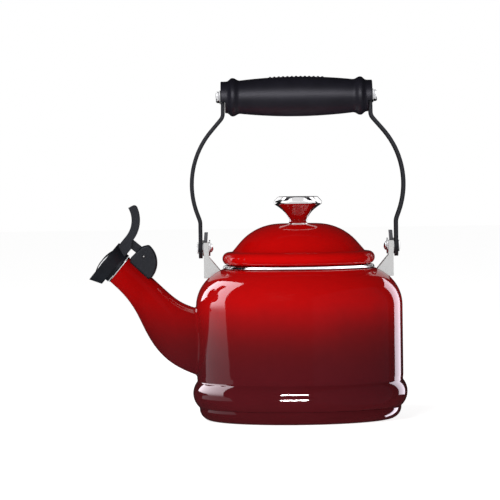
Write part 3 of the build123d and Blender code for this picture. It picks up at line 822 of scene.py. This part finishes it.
def strip_line():
    """The bail strip's middle line, from its top end to its low end, with its bends rounded."""
    corners = [(STRIP_TOP_X, GRIP_Z + STRIP_W / 2)]
    corners += [(x, z) for x, z, bend in STRIP_BENDS]
    corners += [(STRIP_LOW_X, PIVOT_Z - STRIP_W / 2)]
    line = [corners[0]]
    for i, (x, z, bend) in enumerate(STRIP_BENDS, 1):
        p = Vector((x, z))
        a = (Vector(corners[i - 1]) - p).normalized()
        b = (Vector(corners[i + 1]) - p).normalized()
        half = math.acos(max(-1, min(1, a.dot(b)))) / 2
        reach = bend / math.tan(half)
        start, end = p + a * reach, p + b * reach
        line += arc_from(tuple(start), tuple(-a), tuple(end), 3)
    line.append(corners[-1])
    return joined(line)


def bail_strip(side, sign):
    """The bent strip with round ends, swept along its middle line."""
    line = np.array(strip_line())
    length = np.concatenate([[0], np.cumsum(np.linalg.norm(np.diff(line, axis=0), axis=1))])
    total, half = length[-1], STRIP_W / 2
    ends = half * (1 - np.cos(np.linspace(0.12, math.pi / 2, 12)))
    stations = np.concatenate([ends, np.linspace(half, total - half, 120)[1:-1], (total - ends)[::-1]])
    verts, faces = [], []
    corner_steps, glance = 5, 0.3  # points per corner, and half the reach of the direction
    for s in stations:
        x, z = (np.interp(s, length, part) for part in line.T)
        ahead, before = min(s + glance, total), max(s - glance, 0)
        d = [np.interp(ahead, length, part) - np.interp(before, length, part) for part in line.T]
        d = Vector(d).normalized()
        reach = min(s, total - s)
        wide = math.sqrt(max(half**2 - (half - reach) ** 2, 0)) if reach < half else half
        thick = STRIP_T / 2
        soft = min(STRIP_SOFT, wide * 0.8)
        for quarter, (sy, sn) in enumerate(((1, 1), (-1, 1), (-1, -1), (1, -1))):
            for k in range(corner_steps):
                a = math.pi / 2 * (k / (corner_steps - 1))
                along, out = math.cos(a), math.sin(a)
                if quarter % 2:
                    along, out = out, along
                y = sy * (wide - soft + soft * along)
                n = sn * (thick - soft + soft * out)
                verts.append((sign * (x - d[1] * n) * MM, y * MM, (z + d[0] * n) * MM))
    per = 4 * corner_steps
    for i in range(len(stations) - 1):
        for k in range(per):
            m = (k + 1) % per
            faces.append([i * per + k, i * per + m, (i + 1) * per + m, (i + 1) * per + k])
    faces.append(list(range(per)))
    faces.append([(len(stations) - 1) * per + k for k in range(per)][::-1])
    return mesh_from(f"coated_bail_strip_{side}", verts, faces, [COATED])


def drill(x, z, radius, half=6):
    profile = [(0, -half), (radius, -half), (radius, half), (0, half)]
    return turned("drill", profile, [COATED], along_x(x, z, 1), 48)


# Rings on each pivot: name, start and end along X, outer and inner radius.
WASHERS = (
    ("pivot_washer", 59.6, 60.25, 5.0, 2.5),
    ("pivot_spacer", 56.4, 58.6, 3.4, 2.5),
    ("backing_washer", 55.5, 56.4, 5.0, 2.5),
)
WASHER_EASE = 0.22
# The rivet: a low head inside the ear, a plain shank, and a domed head outside.
RIVET = joined(
    [(0.0, 53.5)],
    arc_from((0.0, 53.5), (1, 0), (2.55, 54.6), 12),
    [(2.8, 55.4), (2.5, 55.5), (2.5, 63.05), (3.65, 63.05), (3.6, 63.35)],
    arc_through((3.5, 63.5), (2.2, 64.0), (0.0, 64.15), 8),
)

for side, sign in SIDES.items():
    arm = bail_strip(side, sign)
    low_hole = drill(sign * STRIP_LOW_X, PIVOT_Z, RIVET_BORE)
    cut(arm, [low_hole, drill(sign * STRIP_TOP_X, GRIP_Z, SCREW_BORE)])
    place(arm, "bail", "black_coating", f"bail_arm_{side}")

    ear = eased_copy(f"ear_{side}", 0.22, [BRUSHED, TAB_GREY_AND_EDGE_SHADE], 2, f"steel_ear_{side}")
    # The tab takes the dark grey, and so do the slanting edges, where it is painted shade.
    for face in ear.data.polygons:
        painted_shade_edge = abs(face.normal.x) > SLANTS and abs(face.normal.z) > SLANTS
        face.material_index = int(face.center.z > TAB_LOW * MM or painted_shade_edge)
    place(ear, "kettle", "satin_steel", f"ear_{side}")

    for item, x0, x1, outer, inner in WASHERS:
        ring = ring_profile(inner, outer, x0, x1, WASHER_EASE)
        washer = turned(f"steel_{item}_{side}", ring, [POLISHED], along_x(0, PIVOT_Z, sign), 64)
        place(washer, "kettle", "bright_steel", f"{item}_{side}")

    rivet = softened(RIVET, 0.12, closed=False)
    rivet = turned(f"steel_pivot_rivet_{side}", rivet, [POLISHED], along_x(0, PIVOT_Z, sign), 64)
    place(rivet, "kettle", "bright_steel", f"pivot_rivet_{side}")

    ring = ring_profile(2.1, 4.3, 47.75, 48.45, WASHER_EASE)
    washer = turned(f"steel_grip_washer_{side}", ring, [POLISHED], along_x(0, GRIP_Z, sign), 64)
    place(washer, "bail", "bright_steel", f"grip_washer_{side}")
    screw = eased_copy(f"grip_screw_{side}", 0.12, [POLISHED], 2, f"steel_grip_screw_{side}")
    place(screw, "bail", "bright_steel", f"grip_screw_{side}")


# ---- grip ----
GRIP_HALF, GRIP_END_R, ROD_R = 47.7, 9.9, 3.05
BARREL_HALF, BARREL_R, BARREL_END_R = 35.5, 12.5, 10.5


def grip_radius(x):
    """The grip's outer radius at x: a barrel between two beads, then a plain end."""
    x = abs(x)
    if x <= BARREL_HALF:
        rise = BARREL_R - BARREL_END_R
        bow = (BARREL_HALF**2 + rise**2) / (2 * rise)
        return BARREL_R - bow + math.sqrt(bow**2 - x * x)
    return float(np.interp(x, BEAD_X, BEAD_R))


def bead_line():
    """The bead as a curve through its foot, its top and the plain end."""
    t = np.linspace(0, 1, 24)
    first = [(BARREL_HALF, BARREL_END_R), (37.6, BARREL_END_R), (38.2, 12.1), (40.2, 12.1)]
    second = [(40.2, 12.1), (42.0, 12.1), (42.2, 10.2), (44.2, 9.95)]
    out = []
    for p in (first, second):
        p = np.array(p)
        b = [(1 - t) ** 3, 3 * t * (1 - t) ** 2, 3 * t * t * (1 - t), t**3]
        out.append(sum(b[i][:, None] * p[i] for i in range(4)))
    return np.concatenate([out[0], out[1][1:]])


bead = bead_line()
BEAD_X, BEAD_R = np.append(bead[:, 0], GRIP_HALF), np.append(bead[:, 1], GRIP_END_R)
RIB_PITCH, RIBS, RIB_WIDE, RIB_LONG, RIB_HIGH, RIB_SLOPE = 2.75, 13, 1.3, 8.0, 0.45, 0.35


def rib_height(x, across):
    """How far the moulded ribs stand above the grip at x and across it."""
    near = (x / RIB_PITCH + (RIBS // 2)) % 1.0
    off = min(near, 1 - near) * RIB_PITCH
    if abs(x) > (RIBS // 2 + 0.5) * RIB_PITCH:
        return 0.0
    edge = min(RIB_WIDE / 2 - off, RIB_LONG / 2 - abs(across))
    return RIB_HIGH * min(1.0, max(0.0, edge / RIB_SLOPE + 0.5))


END_RINGS = [(47.45, 9.82), (47.65, 9.6), (GRIP_HALF, 9.3), (GRIP_HALF, ROD_R)]  # x and radius


def grip_body():
    """The grip as rings along X, closer where the ribs are and closer round its top."""
    xs = sorted(
        set(np.round(np.linspace(-19.5, 19.5, 261), 4))
        | set(np.round(np.linspace(20, 35, 16), 4))
        | set(np.round(np.linspace(-35, -20, 16), 4))
        | {round(float(s * b), 4) for b in bead[:, 0] for s in (1, -1)}
        | {s * b for b in (45.0, 46.0, 47.2) for s in (1, -1)}
    )
    around = 144
    angles = [2 * math.pi * k / around for k in range(around)]
    angles = [a - 0.35 * math.sin(2 * a) for a in angles]
    verts, faces, rows = [], [], []

    def ring(x, radius, ribs=False):
        first = len(verts)
        for a in angles:
            across = radius * math.sin(a)
            lift = rib_height(x, across) if ribs and math.cos(a) > 0 else 0.0
            r = radius + lift
            verts.append((x * MM, r * math.sin(a) * MM, (GRIP_Z + r * math.cos(a)) * MM))
        rows.append(first)

    for x, r in END_RINGS[::-1]:
        ring(-x, r)
    for x in xs:
        ring(x, grip_radius(x), ribs=True)
    for x, r in END_RINGS:
        ring(x, r)
    for i in range(len(rows)):
        a, b = rows[i], rows[(i + 1) % len(rows)]
        for k in range(around):
            m = (k + 1) % around
            faces.append([a + k, a + m, b + m, b + k])
    return mesh_from("phenolic_grip", verts, faces, [GRIP_BLACK])


def seat_cutter(sign):
    """The pocket in the grip's end that the strip sits in: open below, round at the top."""
    half, wide, low, step = (STRIP_W + 0.5) / 2, 19.0, GRIP_Z - 20, GRIP_Z - 3
    outline = [(-wide, low), (wide, low), (wide, step), (half, step)]
    outline += [(half * math.cos(a), GRIP_Z + half * math.sin(a)) for a in np.linspace(0, math.pi, 33)]
    outline += [(-half, step), (-wide, step)]
    n = len(outline)
    verts = [(sign * x * MM, y * MM, z * MM) for x in (45.0, 50.0) for y, z in outline]
    faces = [[k, (k + 1) % n, n + (k + 1) % n, n + k] for k in range(n)]
    faces += [list(range(n)), list(range(n, 2 * n))[::-1]]
    return mesh_from("cutter", verts, faces, [GRIP_BLACK])


grip = grip_body()
cut(grip, [seat_cutter(1), seat_cutter(-1)])
place(grip, "bail", "black_phenolic", "grip")

# CAD pieces that stay, in steel.
for name in ("lid_locating_ring", "grip_rod", "saddle_screw", "knob_washer", "knob_screw"):
    nodes[name].data.materials.clear()
    nodes[name].data.materials.append(POLISHED)


# ---- floor, in metres ----
FLOOR_HALF, FLOOR_GAP = 6.0, 0.0002
FLOOR_GLOW = 0.87  # brings the floor up to the white behind it


def floor():
    """A pale floor that glows a little and isn't mirrored in the pieces."""
    m, tree, shader = material("pale_floor", Roughness=0.9, Specular_IOR_Level=0.1)
    coords = object_coords(tree)
    tone = ramp(tree, noise_field(tree, coords, 3, 2), [(0.0, (0.90,) * 3), (1.0, (0.94,) * 3)])
    tree.links.new(tone, shader.inputs["Base Color"])
    shader.inputs["Emission Color"].default_value = (1, 1, 1, 1)
    shader.inputs["Emission Strength"].default_value = FLOOR_GLOW
    mesh = bpy.data.meshes.new("floor")
    corners = [(x * FLOOR_HALF, y * FLOOR_HALF, 0) for x, y in ((-1, -1), (1, -1), (1, 1), (-1, 1))]
    mesh.from_pydata(corners, [], [(0, 1, 2, 3)])
    mesh.materials.append(m)
    obj = put("floor", mesh)
    obj.location.z = cad_box[0][2] - FLOOR_GAP
    obj.visible_glossy = False


floor()


# ---- light, in metres ----
SKY_SOFT, SKY_MIRRORED = 0.12, 0.015


def world():
    """White to the camera, dim on the pieces and nearly black in their reflections."""
    w = bpy.data.worlds.new("studio")
    w.use_nodes = True
    tree = w.node_tree
    tree.nodes.clear()
    path = node(tree, "ShaderNodeLightPath")
    out = node(tree, "ShaderNodeOutputWorld")

    def sky(strength, colour=(1, 1, 1, 1)):
        return node(tree, "ShaderNodeBackground", {"Color": colour, "Strength": strength}).outputs[0]

    def either(ray, no, yes):
        return node(tree, "ShaderNodeMixShader", {0: path.outputs[ray], 1: no, 2: yes}).outputs[0]

    lit = either("Is Glossy Ray", sky(SKY_SOFT, (1.0, 0.995, 0.99, 1)), sky(SKY_MIRRORED))
    tree.links.new(either("Is Camera Ray", lit, sky(1.0)), out.inputs["Surface"])
    bpy.context.scene.world = w


def group(name, *objects):
    c = bpy.data.collections.new(name)
    for o in objects:
        c.objects.link(o)
    return c


WHITE, PINKISH = (1, 1, 1), (1.0, 0.9, 1.03)


def softbox(name, at, facing, size, radiance, receivers=None, diffuse=True, glossy=True, tint=WHITE):
    """A rectangular light of the given radiance. receivers, if given, are the only pieces it lights."""
    data = bpy.data.lights.new(name, "AREA")
    data.shape = "RECTANGLE"
    data.size, data.size_y = size
    data.energy = radiance * size[0] * size[1] * math.pi
    data.color = tint
    obj = put(name, data)
    obj.location = at
    obj.rotation_euler = (Vector(facing) - Vector(at)).to_track_quat("-Z", "Y").to_euler()
    obj.visible_diffuse = diffuse
    obj.visible_glossy = glossy
    obj.visible_camera = False
    if receivers is not None:
        obj.light_linking.receiver_collection = receivers
    return obj


world()
pot, pan, lids = group("pot", body), group("pan", base), group("lids", lid)
pieces = [o for o in bpy.data.objects if o.type == "MESH"]
finished = [o for o in pieces if o.name.startswith("steel_")]
steels = group("steels", *finished, *[o for o in pieces if o in nodes.values()])
# The disc in the whistle keeps a dark edge, so it sees a panel of its own at the back.
behind = group("behind", *[o for o in finished if o is not front_disc])
black = [o for o in pieces if o.name.startswith(("coated_", "phenolic_"))]
blacks = group("blacks", *[o for o in black if o is not grip])
MIDDLE = Vector((0, 0, 0.08))
softbox("key_left", (-0.62, -1.16, 1.0), MIDDLE, (0.9, 0.9), 6.6, glossy=False)


def toward(azimuth):
    """The level direction at an azimuth, in degrees from +X."""
    a = math.radians(azimuth)
    return Vector((math.cos(a), math.sin(a), 0))


def graded_panel(name, azimuth, away, outline, glow, tint, receivers):
    """A softbox square to an azimuth: outline has its side edges by height, glow its radiance."""
    out = toward(azimuth)
    across = Vector((out.y, -out.x, 0))
    verts = [out * away + across * edge + Vector((0, 0, z)) for z, *edges in outline for edge in edges]
    faces = [(2 * i, 2 * i + 1, 2 * i + 3, 2 * i + 2) for i in range(len(outline) - 1)]
    m, tree, shader = material(name, Base_Color=(0, 0, 0, 1), Specular_IOR_Level=0.0)
    shader.inputs["Emission Color"].default_value = (*tint, 1)
    height = node(tree, "ShaderNodeSeparateXYZ", {"Vector": object_coords(tree)}).outputs["Z"]
    low, high, top = glow[0][0], glow[-1][0], max(g for z, g in glow)
    stops = [((z - low) / (high - low), (g / top,) * 3) for z, g in glow]
    level = ramp(tree, spread(tree, height, low, high, 0.0, 1.0), stops)
    strength = node(tree, "ShaderNodeMath", {0: level, 1: top}, operation="MULTIPLY").outputs[0]
    tree.links.new(strength, shader.inputs["Emission Strength"])
    mesh = bpy.data.meshes.new(name)
    mesh.from_pydata([tuple(v) for v in verts], [], faces)
    mesh.materials.append(m)
    obj = put(name, mesh)
    obj.visible_camera = obj.visible_diffuse = obj.visible_shadow = False
    obj.light_linking.receiver_collection = receivers


# The left softbox as the glaze sees it: dim near the floor's level and bright above, wider at its ends.
LEFT_AZIMUTH, LEFT_AWAY = 195, 1.0
LEFT_OUTLINE = [
    *((-0.3, 0.05, 1.6), (-0.05, 0.085, 1.35), (0.0, 0.19, 1.0), (0.03, 0.23, 0.8)),
    *((0.12, 0.25, 1.0), (0.25, 0.28, 2.6), (1.0, 0.45, 2.8), (1.65, 0.65, 2.8)),
]
LEFT_GLOW = [(-0.3, 0.5), (-0.03, 0.55), (0.03, 0.85), (0.06, 1.6)]
LEFT_GLOW += [(0.12, 3.0), (0.2, 4.5), (0.35, 5.5), (1.65, 6.0)]
sees_left = group("pot_and_pan", body, base)
graded_panel("left_panel", LEFT_AZIMUTH, LEFT_AWAY, LEFT_OUTLINE, LEFT_GLOW, (1.0, 0.9, 0.98), sees_left)
at, facing = (-1.073, 0.334, 0.15), (0, 0, 0.12)
softbox("left_lid", at, facing, (0.75, 0.4), 2.2, lids, diffuse=False, tint=PINKISH)

# The right softbox, with a part of its own for the shell, the base pan and the lid.
RIGHT_AZIMUTH, RIGHT_AWAY = 48.75, 1.2
for name, height, size, radiance, receivers, tint in (
    ("right_strip", 0.26, (0.434, 0.76), 3.3, pot, PINKISH),
    ("right_low", -0.4, (0.3, 0.6), 5.0, pan, PINKISH),
    ("right_lid", 0.24, (0.434, 0.36), 3.3, lids, WHITE),
):
    level = Vector((0, 0, height))
    at = toward(RIGHT_AZIMUTH) * RIGHT_AWAY + level
    softbox(name, at, level, size, radiance, receivers, diffuse=False, tint=tint)

# A broad faint glow on the right, nested so that it has no edge, cools the enamel's shaded side.
GLOW_TINT = (0.8, 0.9, 1.2)
for step in range(7):
    wide = 5.2 - 0.6 * step
    size, at, facing = (wide, 0.8 * wide), (1.9, -0.9, 0.1), (0, 0, 0.1)
    softbox(f"right_glow_{step}", at, facing, size, 0.033, pot, diffuse=False, tint=GLOW_TINT)

# Small lights close to the bead, each with a narrow beam, draw the two short bright lines on its front.
BEAD_LINE_R, BEAD_LINE_Z = 0.0669, 0.0170
LAMP_AWAY, LAMP_SIZE = 0.06, (0.0162, 0.0034)
LAMP_BEAM, LAMP_APART, LAMPS_MIDDLE = 18, 9.6, -7.4  # degrees
for elevation, aim, radiance in ((20, -0.0045, 9.0), (-14, 0.0, 5.5)):
    for step in (-1, 0, 1):
        e, a = math.radians(elevation), math.radians(LAMP_APART * step + LAMPS_MIDDLE)
        from_bead = Vector((math.sin(a) * math.cos(e), -math.cos(a) * math.cos(e), math.sin(e)))
        near = Vector((BEAD_LINE_R * math.sin(a / 2), -BEAD_LINE_R * math.cos(a / 2), BEAD_LINE_Z))
        name, at = f"bead_line_{elevation + 90}_{step + 1}", near + from_bead * LAMP_AWAY
        facing = near + Vector((0, 0, aim))
        lamp = softbox(name, at, facing, LAMP_SIZE, radiance, pot, diffuse=False)
        lamp.data.spread = math.radians(LAMP_BEAM)

# What the steel sees: bright walls all round, with a dark gap straight behind.
for name, at, size, radiance in (
    ("steel_front", (0, -2.7, 1.0), (6.0, 4.0), 0.82),
    ("steel_top", (0, -0.3, 3.0), (6.0, 5.0), 0.9),
    ("steel_left", (-3.0, -0.2, 0.8), (5.0, 3.5), 1.25),
    ("steel_right", (3.0, -0.2, 0.8), (5.0, 3.5), 1.25),
    ("steel_low", (0, -1.2, -1.5), (6.0, 3.5), 0.7),
    ("steel_upper_left", (-2.1, 0.2, 2.3), (3.0, 3.0), 1.2),
    ("steel_upper_right", (2.1, 0.2, 2.3), (3.0, 3.0), 1.2),
    ("steel_back_left", (-1.9, 2.6, 0.8), (2.8, 3.5), 1.3),
    ("steel_back_right", (2.2, 2.6, 0.8), (2.6, 3.5), 1.3),
):
    softbox(name, at, MIDDLE, size, radiance, behind if "back" in name else steels, diffuse=False)
at, facing, discs = (-2.92, 2.2, 0.9), (-2.92, 0, 0.9), group("discs", front_disc)
softbox("disc_back", at, facing, (3.4, 3.4), 1.15, discs, diffuse=False)
at, facing, size, tint = (-0.2, -1.4, 0.62), (-0.03, 0, 0.2), (1.8, 0.6), (1.0, 0.98, 1.08)
grips = group("grips", grip)
for name, radiance, receivers in (("black_front", 2.2, blacks), ("grip_front", 4.2, grips)):
    softbox(name, at, facing, size, radiance, receivers, diffuse=False, tint=tint)

# ---- camera, in metres ----
DISTANCE = 2.35
SENSOR = 36  # millimetres
FRAME_WIDE = 0.315  # metres of the object's middle plane across the picture
target = Vector((-0.03055, 0, 0.1069))
eye = Vector((-0.03055, -DISTANCE, 0.1677))
ROLL = math.radians(0.8)
camera = bpy.data.cameras.new("camera")
camera.sensor_width = SENSOR
camera.lens = SENSOR * DISTANCE / FRAME_WIDE
camera.clip_end = 50
view = put("camera", camera)
turn = (target - eye).to_track_quat("-Z", "Y").to_matrix().to_4x4() @ Matrix.Rotation(-ROLL, 4, "Z")
turn.translation = eye
view.matrix_world = turn
bpy.context.scene.camera = view
bpy.context.scene.view_settings.view_transform = "Standard"
